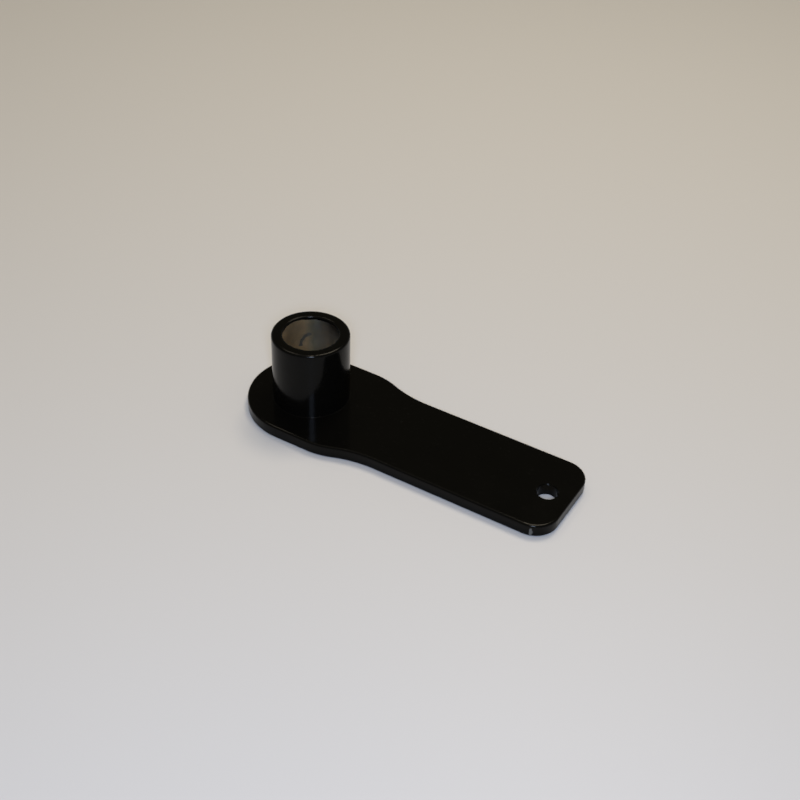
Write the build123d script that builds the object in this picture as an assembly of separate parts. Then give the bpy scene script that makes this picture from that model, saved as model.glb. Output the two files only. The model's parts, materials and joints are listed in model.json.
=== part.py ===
from build123d import *

import math
import os

# Winch handle lever: a flat arm plate with a hub tube that passes through its round head and
# is welded on the underside. Millimetres. The origin is on the hub's axis at the plate's
# underside, +X runs along the arm to the tip, and +Z runs up the hub.

# Arm plate
PLATE_THICKNESS = 6.0
HEAD_DIAMETER = 58.0          # round head, concentric with the hub
ARM_WIDTH = 46.0
THROW = 120.0                 # hub axis to grip hole
TIP_MARGIN = 11.0             # grip hole to tip
TIP_CORNER_RADIUS = 11.0
SHOULDER_LENGTH = 16.5        # straight side of the head, from the hub axis to the neck
NECK_CONVEX_RADIUS = 33.0     # the neck is two arcs that meet at one slope
NECK_CONCAVE_RADIUS = 51.0
PLATE_EDGE_RADIUS = 1.0

# Grip hole, clearance for an M8 bolt
GRIP_HOLE_DIAMETER = 9.0
GRIP_HOLE_CHAMFER = 0.4

# Hub tube
TUBE_DIAMETER = 35.0
BORE_DIAMETER = 25.0
TUBE_RISE = 34.0              # rim above the plate's top face
RIM_OUTER_RADIUS = 1.2
RIM_INNER_RADIUS = 0.8
BORE_FOOT_CHAMFER = 0.5

# Weld, ground flush in a bevel round the tube on the plate's underside
WELD_BEVEL = 2.5

# Derived
HEAD_RADIUS = HEAD_DIAMETER / 2
ARM_HALF_WIDTH = ARM_WIDTH / 2
TIP_X = THROW + TIP_MARGIN
TUBE_RADIUS = TUBE_DIAMETER / 2
TUBE_HEIGHT = PLATE_THICKNESS + TUBE_RISE
NECK_RADII = NECK_CONVEX_RADIUS + NECK_CONCAVE_RADIUS
NECK_SLOPE = math.acos(1 - (HEAD_RADIUS - ARM_HALF_WIDTH) / NECK_RADII)
NECK_LENGTH = NECK_RADII * math.sin(NECK_SLOPE)
NECK_END_X = SHOULDER_LENGTH + NECK_LENGTH


def arc_point(centre_x, centre_y, radius, angle):
    """The point of a circle at an angle in radians from +X."""
    return (centre_x + radius * math.cos(angle), centre_y + radius * math.sin(angle))


def arc_between(centre_x, centre_y, radius, start, end):
    """The arc of a circle from one angle to another, through the angle halfway."""
    angles = (start, (start + end) / 2, end)
    return ThreePointArc(*[arc_point(centre_x, centre_y, radius, angle) for angle in angles])


def long_side():
    """The outline's +Y side, from the head's rearmost point to the middle of the tip."""
    top = math.pi / 2
    convex_y = HEAD_RADIUS - NECK_CONVEX_RADIUS
    concave_y = ARM_HALF_WIDTH + NECK_CONCAVE_RADIUS
    corner_x = TIP_X - TIP_CORNER_RADIUS
    corner_y = ARM_HALF_WIDTH - TIP_CORNER_RADIUS
    head = arc_between(0, 0, HEAD_RADIUS, math.pi, top)
    shoulder = Line(head @ 1, (SHOULDER_LENGTH, HEAD_RADIUS))
    convex = arc_between(SHOULDER_LENGTH, convex_y, NECK_CONVEX_RADIUS, top, top - NECK_SLOPE)
    concave = arc_between(NECK_END_X, concave_y, NECK_CONCAVE_RADIUS, -top - NECK_SLOPE, -top)
    side = Line(concave @ 1, (corner_x, ARM_HALF_WIDTH))
    corner = arc_between(corner_x, corner_y, TIP_CORNER_RADIUS, top, 0)
    tip = Line(corner @ 1, (TIP_X, 0))
    return [head, shoulder, convex, concave, side, corner, tip]


def bottom_circles(solid):
    """The circular edges at the foot of a solid, smallest first."""
    return solid.edges().filter_by(GeomType.CIRCLE).group_by(Axis.Z)[0].sort_by(SortBy.RADIUS)


def top_circles(solid):
    """The circular edges at the top of a solid, smallest first."""
    return solid.edges().filter_by(GeomType.CIRCLE).group_by(Axis.Z)[-1].sort_by(SortBy.RADIUS)


def arm_plate():
    """The flat lever with its long edges eased, the hub's seat, its weld bevel and the grip hole."""
    half = long_side()
    outline = make_face(half + [edge.mirror(Plane.XZ) for edge in half])
    plate = extrude(outline, PLATE_THICKNESS)
    rims = plate.edges().filter_by(Plane.XY)
    plate = fillet(rims, PLATE_EDGE_RADIUS)
    plate -= extrude(Circle(TUBE_RADIUS), PLATE_THICKNESS)
    plate -= weld_ring()
    plate -= Pos(THROW, 0, 0) * extrude(Circle(GRIP_HOLE_DIAMETER / 2), PLATE_THICKNESS)
    hole_rims = plate.edges().filter_by(GeomType.CIRCLE).filter_by(
        lambda edge: abs(edge.radius - GRIP_HOLE_DIAMETER / 2) < 0.01
    )
    return chamfer(hole_rims, GRIP_HOLE_CHAMFER)


def hub_tube():
    """The thick-walled tube, flush with the plate's underside, with an eased rim."""
    tube = extrude(Circle(TUBE_RADIUS) - Circle(BORE_DIAMETER / 2), TUBE_HEIGHT)
    tube = fillet(top_circles(tube)[-1], RIM_OUTER_RADIUS)
    tube = fillet(top_circles(tube)[0], RIM_INNER_RADIUS)
    return chamfer(bottom_circles(tube)[0], BORE_FOOT_CHAMFER)


def weld_ring():
    """The weld that fills the bevel between the plate's underside and the tube's wall."""
    corner = (TUBE_RADIUS, 0)
    on_plate = (TUBE_RADIUS + WELD_BEVEL, 0)
    on_tube = (TUBE_RADIUS, WELD_BEVEL)
    section = make_face(Polyline(corner, on_plate, on_tube, close=True))
    return revolve(Plane.XZ * section, Axis.Z)


NODES = {
    "arm_plate": arm_plate,
    "hub_tube": hub_tube,
    "underside_weld": weld_ring,
}

os.makedirs("parts", exist_ok=True)
for name, make in NODES.items():
    export_step(make(), f"parts/{name}.step")
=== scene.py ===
"""The looks of a welded winch handle lever: gloss black coat, bare steel bore, pale floor."""

import json
import math

import bpy
from mathutils import Matrix, Vector, noise


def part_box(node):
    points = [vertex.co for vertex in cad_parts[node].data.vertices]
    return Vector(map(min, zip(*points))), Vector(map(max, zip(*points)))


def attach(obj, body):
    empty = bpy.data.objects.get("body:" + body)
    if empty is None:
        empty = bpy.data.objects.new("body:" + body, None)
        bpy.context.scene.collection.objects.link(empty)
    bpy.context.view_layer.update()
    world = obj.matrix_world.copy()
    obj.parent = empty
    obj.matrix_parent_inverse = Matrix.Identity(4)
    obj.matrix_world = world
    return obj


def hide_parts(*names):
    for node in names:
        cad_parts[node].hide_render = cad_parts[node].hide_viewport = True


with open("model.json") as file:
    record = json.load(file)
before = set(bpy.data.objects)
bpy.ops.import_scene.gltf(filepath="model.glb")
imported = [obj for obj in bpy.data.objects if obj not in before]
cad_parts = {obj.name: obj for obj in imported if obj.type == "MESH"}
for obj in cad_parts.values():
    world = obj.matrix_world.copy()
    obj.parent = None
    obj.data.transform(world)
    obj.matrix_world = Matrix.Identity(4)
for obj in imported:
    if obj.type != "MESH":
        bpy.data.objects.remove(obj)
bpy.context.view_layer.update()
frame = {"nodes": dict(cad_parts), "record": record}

MM = 0.001
MOUNTS = {mount["name"]: mount for mount in frame["record"]["mounts"]}
HUB_LOW, HUB_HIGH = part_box("hub_tube")
PLATE_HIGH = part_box("arm_plate")[1]
WELD_LOW, WELD_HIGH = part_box("underside_weld")

# The arm's front side, from the plate's corners that lie beyond half the throw
ARM_LOW_Y = min(
    corner.co.y for corner in frame["nodes"]["arm_plate"].data.vertices
    if corner.co.x > MOUNTS["grip_bolt_hole"]["pos_m"][0] / 2
)

# Sizes in metres, worked out from the frame
TUBE_RADIUS = (HUB_HIGH[0] - HUB_LOW[0]) / 2
BORE_RADIUS = MOUNTS["shaft_bore"]["dims"]["r_mm"] * MM
RIM_HEIGHT = HUB_HIGH[2]
PLATE_TOP = PLATE_HIGH[2]
WELD_OUTER_RADIUS = (WELD_HIGH[0] - WELD_LOW[0]) / 2
WELD_DEPTH = WELD_HIGH[2]

# Hub tube
RIM_OUTER_RADIUS = 1.2 * MM
RIM_INNER_RADIUS = 0.8 * MM
BORE_FOOT_CHAMFER = 0.5 * MM
FOOT_COAT_RADIUS = 0.15 * MM      # paint that pooled in the corner at the tube's foot
FOOT_COAT_SKIRT = 0.1 * MM        # how far that paint's edge is sunk in the plate
HUB_SEGMENTS = 256
WALL_ROWS = 16
ARC_STEPS = 10
HUB_SHARP_ANGLE = math.radians(40)
BORE_MARGIN = 0.05 * MM           # faces nearer the axis than the bore plus this are the bore's

# Weld on the underside
WELD_RIPPLE_COUNT = 58
WELD_RIPPLE_DEPTH = 0.12 * MM
WELD_RIPPLE_BOW = 2.4             # how far each ripple bows, in radians of its own phase
WELD_CROWN_DEPTH = 0.25 * MM      # how far the weld's middle is ground in from the underside
WELD_UNEVEN_SCALE = 2.5
WELD_MEAN_CROWN = 0.75            # the crown's share of its full depth, on average
WELD_UNEVENNESS = 0.5
WELD_SEGMENTS = 464
WELD_ROWS = 12
WELD_SHARP_ANGLE = math.radians(50)

# Camera
CAMERA_AZIMUTH = math.radians(29.91)
CAMERA_ELEVATION = math.radians(38.58)
CAMERA_ROLL = math.radians(2.3)
CAMERA_DISTANCE = 0.5997
CAMERA_LENS_MM = 58.3
CAMERA_AIM = Vector((0.03243, 0.02482, 0.0))
CAMERA_CLIP_START = 0.01

# Noise textures stay between these values almost everywhere
NOISE_LOW = 0.3
NOISE_HIGH = 0.7


def direction(azimuth, elevation):
    """The unit vector from the object towards an azimuth (0 is -Y, 90 is +X) and elevation."""
    level = math.cos(elevation)
    return Vector((math.sin(azimuth) * level, -math.cos(azimuth) * level, math.sin(elevation)))


def add_camera():
    back = direction(CAMERA_AZIMUTH, CAMERA_ELEVATION)
    right = Vector((math.cos(CAMERA_AZIMUTH), math.sin(CAMERA_AZIMUTH), 0.0))
    up = back.cross(right)
    rolled_right = math.cos(CAMERA_ROLL) * right + math.sin(CAMERA_ROLL) * up
    rolled_up = math.cos(CAMERA_ROLL) * up - math.sin(CAMERA_ROLL) * right
    data = bpy.data.cameras.new("camera")
    data.lens = CAMERA_LENS_MM
    data.clip_start = CAMERA_CLIP_START
    camera = bpy.data.objects.new("camera", data)
    bpy.context.scene.collection.objects.link(camera)
    turn = Matrix((rolled_right, rolled_up, back)).transposed().to_4x4()
    camera.matrix_world = Matrix.Translation(CAMERA_AIM + back * CAMERA_DISTANCE) @ turn
    bpy.context.scene.camera = camera


def add_area_light(name, azimuth, elevation, distance, size, power, colour):
    """A round softbox that faces the middle of the object."""
    data = bpy.data.lights.new(name, "AREA")
    data.shape = "DISK"
    data.size = size
    data.energy = power
    data.color = colour
    light = bpy.data.objects.new(name, data)
    bpy.context.scene.collection.objects.link(light)
    back = direction(math.radians(azimuth), math.radians(elevation))
    light.location = CAMERA_AIM + back * distance
    light.rotation_mode = "QUATERNION"
    light.rotation_quaternion = (-back).to_track_quat("-Z", "Y")


def set_stops(color_ramp, stops):
    """Give a new colour ramp its stops, as (position, colour) in rising order."""
    color_ramp.elements[0].position = stops[0][0]
    color_ramp.elements[0].color = stops[0][1]
    color_ramp.elements[1].position = stops[-1][0]
    color_ramp.elements[1].color = stops[-1][1]
    for position, colour in stops[1:-1]:
        color_ramp.elements.new(position).color = colour


class NodeGraph:
    """A new material whose nodes are added and linked in one call each."""

    def __init__(self, name):
        self.material = bpy.data.materials.new(name)
        self.material.use_nodes = True
        self.nodes = self.material.node_tree.nodes
        self.links = self.material.node_tree.links
        self.shader = self.nodes["Principled BSDF"]

    def add(self, kind, settings=None, **inputs):
        """A node of a kind, with its settings, and its inputs given as values or sockets."""
        node = self.nodes.new(kind)
        for key, value in (settings or {}).items():
            setattr(node, key, value)
        for key, value in inputs.items():
            self.feed(node.inputs[key.replace("_", " ")], value)
        return node

    def feed(self, socket, value):
        if isinstance(value, bpy.types.NodeSocket):
            self.links.new(value, socket)
        else:
            socket.default_value = value

    def position(self):
        return self.add("ShaderNodeTexCoord").outputs["Object"]

    def level_part(self):
        """The vertical part of the surface's normal."""
        normal = self.add("ShaderNodeTexCoord").outputs["Normal"]
        return self.add("ShaderNodeSeparateXYZ", Vector=normal).outputs["Z"]

    def noise(self, vector, scale, detail=2.0):
        texture = self.add("ShaderNodeTexNoise", Vector=vector, Scale=scale, Detail=detail)
        return texture.outputs["Fac"]

    def stretched(self, vector, scale):
        mapping = self.add("ShaderNodeMapping", Vector=vector, Scale=scale)
        return mapping.outputs["Vector"]

    def remap(self, value, from_min, from_max, to_min=0.0, to_max=1.0):
        """A value carried from one range to another, and held at the ends."""
        node = self.add(
            "ShaderNodeMapRange", Value=value, From_Min=from_min, From_Max=from_max,
            To_Min=to_min, To_Max=to_max,
        )
        return node.outputs["Result"]

    def math(self, operation, first, second=0.0):
        node = self.add("ShaderNodeMath", {"operation": operation})
        self.feed(node.inputs[0], first)
        self.feed(node.inputs[1], second)
        return node.outputs["Value"]

    def blend(self, factor, first, second):
        node = self.add("ShaderNodeMix", {"data_type": "RGBA"})
        self.feed(node.inputs[0], factor)
        self.feed(node.inputs[6], first)
        self.feed(node.inputs[7], second)
        return node.outputs[2]

    def ramp(self, value, stops):
        """A colour for a value, from stops of (position, colour)."""
        node = self.add("ShaderNodeValToRGB", Fac=value)
        set_stops(node.color_ramp, stops)
        return node.outputs["Color"]

    def spread(self, texture, low, high):
        """A noise texture carried to a range."""
        return self.remap(texture, NOISE_LOW, NOISE_HIGH, low, high)

    def bump(self, height, distance, normal=None):
        node = self.add("ShaderNodeBump", Height=height, Distance=distance, Strength=1.0)
        if normal is not None:
            self.links.new(normal, node.inputs["Normal"])
        return node.outputs["Normal"]


COAT_COLOUR = (0.0022, 0.0021, 0.0017, 1.0)
COAT_DUST_COLOUR = (0.005, 0.0047, 0.004, 1.0)
COAT_IOR = 1.20
PEEL_SCALE = 330.0
PEEL_DEPTH = 0.03 * MM
GLOSS_SCALE = 70.0
DUST_SCALE = 900.0
DUST_FROM = 0.66                      # the noise value where dust begins, and where it is full
DUST_FULL = 0.74
CUT_MARK_SCALE = (1300.0, 1300.0, 60.0)
CUT_MARK_DEPTH = 0.05 * MM

# A painted highlight up the tip's front corner: a lighter strip in the coat's colour that stands for a
# glint of light there
CORNER_HIGHLIGHT_ANGLE = math.radians(-70.5)      # round the tip corner, from +X
CORNER_HIGHLIGHT_HALF_WIDTH = 0.8 * MM
CORNER_HIGHLIGHT_CORE = 0.4                       # the share of the half width where the painted highlight is full
CORNER_HIGHLIGHT_RAGGEDNESS = 0.4 * MM
CORNER_HIGHLIGHT_RAGGED_SCALE = 700.0
CORNER_HIGHLIGHT_LOW = 0.3 * MM
CORNER_HIGHLIGHT_HIGH = 4.7 * MM
CORNER_HIGHLIGHT_FADE = 0.5 * MM                  # how softly the painted highlight ends, up and down
PAINTED_HIGHLIGHT_COLOUR = (0.11, 0.11, 0.105, 1.0)
TIP_CORNER_RADIUS = 11.0 * MM


def painted_corner_highlight(graph, place):
    """A mask that is 1 on the painted highlight and 0 off it, with ragged sides and soft ends."""
    corner = Vector((PLATE_HIGH[0] - TIP_CORNER_RADIUS, ARM_LOW_Y + TIP_CORNER_RADIUS, 0.0))
    spot = corner + TIP_CORNER_RADIUS * Vector((math.cos(CORNER_HIGHLIGHT_ANGLE), math.sin(CORNER_HIGHLIGHT_ANGLE), 0.0))
    level = graph.stretched(place, (1.0, 1.0, 0.0))
    away = graph.add("ShaderNodeVectorMath", {"operation": "DISTANCE"})
    graph.feed(away.inputs[0], level)
    graph.feed(away.inputs[1], spot)
    ragged = graph.noise(place, CORNER_HIGHLIGHT_RAGGED_SCALE)
    uneven = graph.spread(ragged, -CORNER_HIGHLIGHT_RAGGEDNESS, CORNER_HIGHLIGHT_RAGGEDNESS)
    reach = graph.math("ADD", away.outputs["Value"], uneven)
    height = graph.add("ShaderNodeSeparateXYZ", Vector=place).outputs["Z"]
    from_low = graph.remap(height, CORNER_HIGHLIGHT_LOW, CORNER_HIGHLIGHT_LOW + CORNER_HIGHLIGHT_FADE)
    from_high = graph.remap(height, CORNER_HIGHLIGHT_HIGH, CORNER_HIGHLIGHT_HIGH - CORNER_HIGHLIGHT_FADE)
    beside = graph.remap(reach, CORNER_HIGHLIGHT_HALF_WIDTH, CORNER_HIGHLIGHT_CORE * CORNER_HIGHLIGHT_HALF_WIDTH)
    return graph.math("MULTIPLY", beside, graph.math("MULTIPLY", from_low, from_high))


def gloss_black_coat(name, smoothest, roughest, cut_marks_and_highlight=False):
    """Black powder coat with a faint orange peel; cut marks run up and down its upright faces, and
    where cut marks are asked for, a painted highlight also runs up the tip's front corner.
    """
    graph = NodeGraph(name)
    place = graph.position()
    peel = graph.noise(place, PEEL_SCALE)
    gloss = graph.noise(place, GLOSS_SCALE)
    dust = graph.remap(graph.noise(place, DUST_SCALE), DUST_FROM, DUST_FULL)
    coat = graph.blend(dust, COAT_COLOUR, COAT_DUST_COLOUR)
    graph.feed(graph.shader.inputs["Base Color"], coat)
    graph.feed(graph.shader.inputs["Roughness"], graph.spread(gloss, smoothest, roughest))
    graph.shader.inputs["IOR"].default_value = COAT_IOR
    skin = graph.bump(peel, PEEL_DEPTH)
    if cut_marks_and_highlight:
        # A painted highlight: a lighter strip mixed into the coat's colour up the tip's front corner,
        # standing for a glint of light there
        painted_highlight = painted_corner_highlight(graph, place)
        graph.feed(graph.shader.inputs["Base Color"], graph.blend(painted_highlight, coat, PAINTED_HIGHLIGHT_COLOUR))
        marks = graph.noise(graph.stretched(place, CUT_MARK_SCALE), 1.0)
        upright = graph.math("SUBTRACT", 1.0, graph.math("ABSOLUTE", graph.level_part()))
        skin = graph.bump(graph.math("MULTIPLY", marks, upright), CUT_MARK_DEPTH, normal=skin)
    graph.feed(graph.shader.inputs["Normal"], skin)
    return graph.material


# Angles about the hub's axis, as shares of a turn from +X, with the steel's tint there; the pale warm
# band is painted warm light on that side of the bore, the rest is the steel's grey
BORE_TINTS_AND_PAINTED_LIGHT = [
    (0.20, (0.31, 0.32, 0.31, 1.0)),
    (0.30, (0.33, 0.34, 0.31, 1.0)),
    (0.325, (0.34, 0.345, 0.28, 1.0)),
    (0.352, (0.49, 0.43, 0.30, 1.0)),
    (0.38, (0.75, 0.58, 0.36, 1.0)),
    (0.58, (0.69, 0.52, 0.33, 1.0)),
    (0.75, (0.31, 0.32, 0.31, 1.0)),
]
TINT_WANDER = 0.012                   # how far the borders of the tints and the painted light wander, in turns
GRAIN_SCALE = (900.0, 900.0, 450.0)
GRAIN_DEPTH = 0.02 * MM
BLOTCH_SCALE = 260.0
BLOTCH_FROM = 0.35
BLOTCH_FULL = 0.75
BLOTCH_STRENGTH = 0.25
BLOTCH_COLOUR = (0.35, 0.33, 0.29, 1.0)
STEEL_SMOOTHEST = 0.42
STEEL_ROUGHEST = 0.56
DARK_CURVE_ANGLE = math.radians(123.0)     # where round the bore the curved dark mark is centred
DARK_CURVE_DEPTH = 14.6 * MM               # how far its centre lies below the rim
DARK_CURVE_RADIUS = 5.0 * MM
DARK_CURVE_HALF_WIDTH = 0.9 * MM
DARK_CURVE_CORE = 0.6                      # the share of the half width where the mark is full
DARK_CURVE_RAGGEDNESS = 0.45 * MM
DARK_CURVE_TAIL = 1.0 * MM                 # how far the mark runs down below its centre
DARK_CURVE_COLOUR = (0.27, 0.275, 0.25, 1.0)
PAINT_EDGE_DEPTH = 1.5 * MM           # how far the coat runs into the bore's mouth
PAINT_EDGE_RAGGEDNESS = 0.4 * MM
PAINT_EDGE_SCALE = 140.0
PAINT_EDGE_SOFTNESS = 0.1 * MM
PAINT_SMOOTHER_BY = 0.3               # how much less rough the coat is than the steel
SIDE_DARKENING_DEPTH = 9.0 * MM            # how far the darkening reaches down from the rim, on one side of the bore
SIDE_DARKENING_AT_RIM = 1.4
SIDE_DARKENING_FROM = 0.31                 # where round the bore it begins, and where it is full, in turns
SIDE_DARKENING_FULL = 0.20
SIDE_DARKENING_COLOUR = (0.05, 0.048, 0.045, 1.0)


def bare_steel():
    """The bore: grained bare steel, paler and warmer on one side with painted light, a curved dark
    mark, darker towards the rim on one side, and the coat's ragged edge.
    """
    graph = NodeGraph("bare_steel")
    place = graph.position()
    parts = graph.add("ShaderNodeSeparateXYZ", Vector=place).outputs
    grain = graph.noise(graph.stretched(place, GRAIN_SCALE), 1.0, 4.0)
    blotch = graph.noise(place, BLOTCH_SCALE, 3.0)
    angle = graph.math("ARCTAN2", parts["Y"], parts["X"])
    turn = graph.math("FRACT", graph.math("DIVIDE", angle, 2 * math.pi))
    wander = graph.spread(blotch, -TINT_WANDER, TINT_WANDER)
    # The pale warm band in this ramp is painted warm light on one side of the bore
    tint_and_painted_light = graph.ramp(graph.math("ADD", turn, wander), BORE_TINTS_AND_PAINTED_LIGHT)
    # A curved dark mark, a quarter ring, on the bore wall
    across = graph.math("MULTIPLY", graph.math("SUBTRACT", angle, DARK_CURVE_ANGLE), BORE_RADIUS)
    above = graph.math("SUBTRACT", parts["Z"], RIM_HEIGHT - DARK_CURVE_DEPTH)
    reach = graph.math("SQRT", graph.math(
        "ADD", graph.math("POWER", across, 2.0), graph.math("POWER", above, 2.0)
    ))
    off_ring = graph.math("ABSOLUTE", graph.math("SUBTRACT", reach, DARK_CURVE_RADIUS))
    ragged = graph.spread(blotch, -DARK_CURVE_RAGGEDNESS, DARK_CURVE_RAGGEDNESS)
    off_ring = graph.math("ADD", off_ring, ragged)
    ring = graph.remap(off_ring, DARK_CURVE_HALF_WIDTH, DARK_CURVE_CORE * DARK_CURVE_HALF_WIDTH)
    quarter = graph.math(
        "MULTIPLY",
        graph.math("GREATER_THAN", across, 0.0),
        graph.math("GREATER_THAN", above, -DARK_CURVE_TAIL),
    )
    dark_curve = graph.math("MULTIPLY", ring, quarter)
    dulled = graph.remap(blotch, BLOTCH_FROM, BLOTCH_FULL, 0.0, BLOTCH_STRENGTH)
    colour = graph.blend(dulled, tint_and_painted_light, BLOTCH_COLOUR)
    colour = graph.blend(dark_curve, colour, DARK_CURVE_COLOUR)
    # Darker towards the rim on one side of the bore
    beside = graph.remap(turn, SIDE_DARKENING_FROM, SIDE_DARKENING_FULL)
    near_rim = graph.remap(
        parts["Z"], RIM_HEIGHT - SIDE_DARKENING_DEPTH, RIM_HEIGHT, 0.0, SIDE_DARKENING_AT_RIM
    )
    side_darkening = graph.math("MULTIPLY", beside, graph.math("ADD", near_rim, wander))
    colour = graph.blend(side_darkening, colour, SIDE_DARKENING_COLOUR)
    ragged_edge = graph.noise(place, PAINT_EDGE_SCALE, 6.0)
    edge_height = graph.spread(ragged_edge, -PAINT_EDGE_RAGGEDNESS, PAINT_EDGE_RAGGEDNESS)
    height = graph.math("ADD", parts["Z"], edge_height)
    depth = graph.math("SUBTRACT", RIM_HEIGHT - PAINT_EDGE_DEPTH, height)
    painted = graph.remap(depth, 0.0, -PAINT_EDGE_SOFTNESS)
    graph.feed(graph.shader.inputs["Base Color"], graph.blend(painted, colour, COAT_COLOUR))
    graph.feed(graph.shader.inputs["Metallic"], graph.math("SUBTRACT", 1.0, painted))
    rough = graph.spread(grain, STEEL_SMOOTHEST, STEEL_ROUGHEST)
    smoother = graph.math("MULTIPLY", painted, PAINT_SMOOTHER_BY)
    graph.feed(graph.shader.inputs["Roughness"], graph.math("SUBTRACT", rough, smoother))
    graph.shader.inputs["IOR"].default_value = COAT_IOR
    graph.feed(graph.shader.inputs["Normal"], graph.bump(grain, GRAIN_DEPTH))
    return graph.material


def lathe(name, profile_at, segments):
    """A closed ring about the hub's axis, from an anticlockwise loop of (radius, height) per angle."""
    vertices = []
    for step in range(segments):
        angle = 2 * math.pi * step / segments
        loop = profile_at(angle)
        vertices += [(r * math.cos(angle), r * math.sin(angle), z) for r, z in loop]
    count = len(vertices) // segments
    faces = []
    for step in range(segments):
        near = step * count
        far = (step + 1) % segments * count
        for point in range(count):
            after = (point + 1) % count
            faces.append((near + point, far + point, far + after, near + after))
    mesh = bpy.data.meshes.new(name)
    mesh.from_pydata(vertices, [], faces)
    piece = bpy.data.objects.new(name, mesh)
    bpy.context.scene.collection.objects.link(piece)
    for face in mesh.polygons:
        face.use_smooth = True
    return piece


def arc(centre_radius, centre_height, radius, start, end):
    """Points of an arc in the profile's plane, from one angle to another in degrees."""
    points = []
    for step in range(ARC_STEPS + 1):
        angle = math.radians(start + (end - start) * step / ARC_STEPS)
        points.append((
            centre_radius + radius * math.cos(angle),
            centre_height + radius * math.sin(angle),
        ))
    return points


def hub_profile():
    """The tube's section, anticlockwise: underside, foot, outer wall, rim, bore."""
    loop = [(BORE_RADIUS, BORE_FOOT_CHAMFER), (BORE_RADIUS + BORE_FOOT_CHAMFER, 0.0)]
    loop += [(TUBE_RADIUS, 0.0), (TUBE_RADIUS, PLATE_TOP - FOOT_COAT_SKIRT)]
    loop += [(TUBE_RADIUS + FOOT_COAT_RADIUS, PLATE_TOP - FOOT_COAT_SKIRT)]
    loop += arc(
        TUBE_RADIUS + FOOT_COAT_RADIUS, PLATE_TOP + FOOT_COAT_RADIUS, FOOT_COAT_RADIUS, 270, 180
    )
    wall_low = PLATE_TOP + FOOT_COAT_RADIUS
    wall_high = RIM_HEIGHT - RIM_OUTER_RADIUS
    loop += [
        (TUBE_RADIUS, wall_low + (wall_high - wall_low) * row / WALL_ROWS)
        for row in range(1, WALL_ROWS)
    ]
    loop += arc(TUBE_RADIUS - RIM_OUTER_RADIUS, wall_high, RIM_OUTER_RADIUS, 0, 90)
    bore_high = RIM_HEIGHT - RIM_INNER_RADIUS
    loop += arc(BORE_RADIUS + RIM_INNER_RADIUS, bore_high, RIM_INNER_RADIUS, 90, 180)
    loop += [
        (BORE_RADIUS, bore_high + (BORE_FOOT_CHAMFER - bore_high) * row / WALL_ROWS)
        for row in range(1, WALL_ROWS)
    ]
    return loop


def add_hub(coat, steel):
    profile = hub_profile()
    hub = lathe("hub_tube_finish", lambda angle: profile, HUB_SEGMENTS)
    hub.data.materials.append(coat)
    hub.data.materials.append(steel)
    for face in hub.data.polygons:
        radius = math.hypot(face.center[0], face.center[1])
        face.material_index = 1 if radius < BORE_RADIUS + BORE_MARGIN else 0
    hub.data.set_sharp_from_angle(angle=HUB_SHARP_ANGLE)
    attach(hub, "root")
    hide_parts("hub_tube")


def weld_profile(angle):
    """The weld's section at an angle, anticlockwise: its ground, rippled face, then its root."""
    loop = []
    for row in range(WELD_ROWS + 1):
        share = row / WELD_ROWS
        hollow = math.sin(math.pi * share)
        radius = TUBE_RADIUS + (WELD_OUTER_RADIUS - TUBE_RADIUS) * share
        phase = WELD_RIPPLE_COUNT * angle + WELD_RIPPLE_BOW * hollow
        ripple = WELD_RIPPLE_DEPTH * (0.5 + 0.5 * math.sin(phase))
        place = Vector((math.cos(angle), math.sin(angle), share)) * WELD_UNEVEN_SCALE
        uneven = WELD_MEAN_CROWN + WELD_UNEVENNESS * noise.noise(place)
        loop.append((radius, hollow * uneven * (WELD_CROWN_DEPTH + ripple)))
    loop.append((TUBE_RADIUS, WELD_DEPTH))
    return loop


def add_weld(coat):
    weld = lathe("underside_weld_finish", weld_profile, WELD_SEGMENTS)
    weld.data.materials.append(coat)
    weld.data.set_sharp_from_angle(angle=WELD_SHARP_ANGLE)
    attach(weld, "root")
    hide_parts("underside_weld")


WARM = (1.0, 0.87, 0.67)
COOL = (0.62, 0.74, 1.0)

# The sine of the elevation, with the room's colour there
ROOM_TINTS = [
    (0.00, (0.38, 0.37, 0.35, 1.0)),
    (0.20, (0.36, 0.35, 0.33, 1.0)),
    (0.42, (0.085, 0.075, 0.050, 1.0)),
    (0.72, (0.085, 0.075, 0.050, 1.0)),
    (0.92, (0.48, 0.43, 0.35, 1.0)),
]

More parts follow.
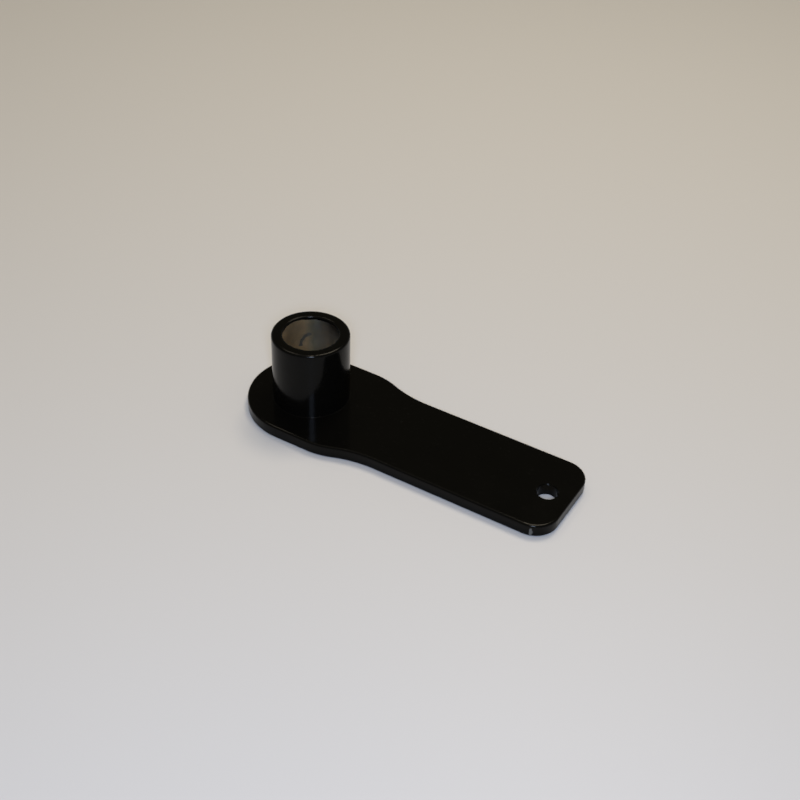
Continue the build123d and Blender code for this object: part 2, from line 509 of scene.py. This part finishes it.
# Name, azimuth, elevation, distance, size in metres, power in watts and colour
LIGHTS = [
    ("lamp", 30, 86, 1.6, 0.2, 3.0, WARM),
    ("back", 184, 66, 1.0, 0.35, 3.6, WARM),
    ("back_right", 140, 66, 1.5, 1.3, 0.75, WARM),
    ("left", -122, 56, 1.5, 0.25, 1.3, WARM),
    ("front", 31, 38.5, 0.8, 0.15, 3.7, COOL),
]

FLOOR_HALF = 15.0
FLOOR_COLOUR = (0.6, 0.6, 0.6, 1.0)
FLOOR_SPECULAR = 0.12
FLOOR_ROUGHNESS = 0.4


def add_floor():
    mesh = bpy.data.meshes.new("floor")
    signs = [(-1, -1), (1, -1), (1, 1), (-1, 1)]
    corners = [(x * FLOOR_HALF, y * FLOOR_HALF, 0) for x, y in signs]
    mesh.from_pydata(corners, [], [(0, 1, 2, 3)])
    floor = bpy.data.objects.new("floor", mesh)
    bpy.context.scene.collection.objects.link(floor)
    graph = NodeGraph("floor")
    graph.shader.inputs["Base Color"].default_value = FLOOR_COLOUR
    graph.shader.inputs["Specular IOR Level"].default_value = FLOOR_SPECULAR
    graph.shader.inputs["Roughness"].default_value = FLOOR_ROUGHNESS
    mesh.materials.append(graph.material)


def add_world():
    """A pale horizon, a dim wall band and a brighter ceiling."""
    world = bpy.data.worlds.new("room")
    world.use_nodes = True
    nodes = world.node_tree.nodes
    links = world.node_tree.links
    coordinates = nodes.new("ShaderNodeTexCoord")
    parts = nodes.new("ShaderNodeSeparateXYZ")
    links.new(coordinates.outputs["Generated"], parts.inputs["Vector"])
    ramp = nodes.new("ShaderNodeValToRGB")
    set_stops(ramp.color_ramp, ROOM_TINTS)
    links.new(parts.outputs["Z"], ramp.inputs["Fac"])
    links.new(ramp.outputs["Color"], nodes["Background"].inputs["Color"])
    bpy.context.scene.world = world


bpy.context.scene.view_settings.view_transform = "Standard"
add_camera()
add_floor()
add_world()
for light in LIGHTS:
    add_area_light(*light)
plate_coat = gloss_black_coat("gloss_black_plate", 0.10, 0.15, cut_marks_and_highlight=True)
round_coat = gloss_black_coat("gloss_black_round", 0.13, 0.18)
frame["nodes"]["arm_plate"].data.materials.clear()
frame["nodes"]["arm_plate"].data.materials.append(plate_coat)
add_hub(round_coat, bare_steel())
add_weld(round_coat)
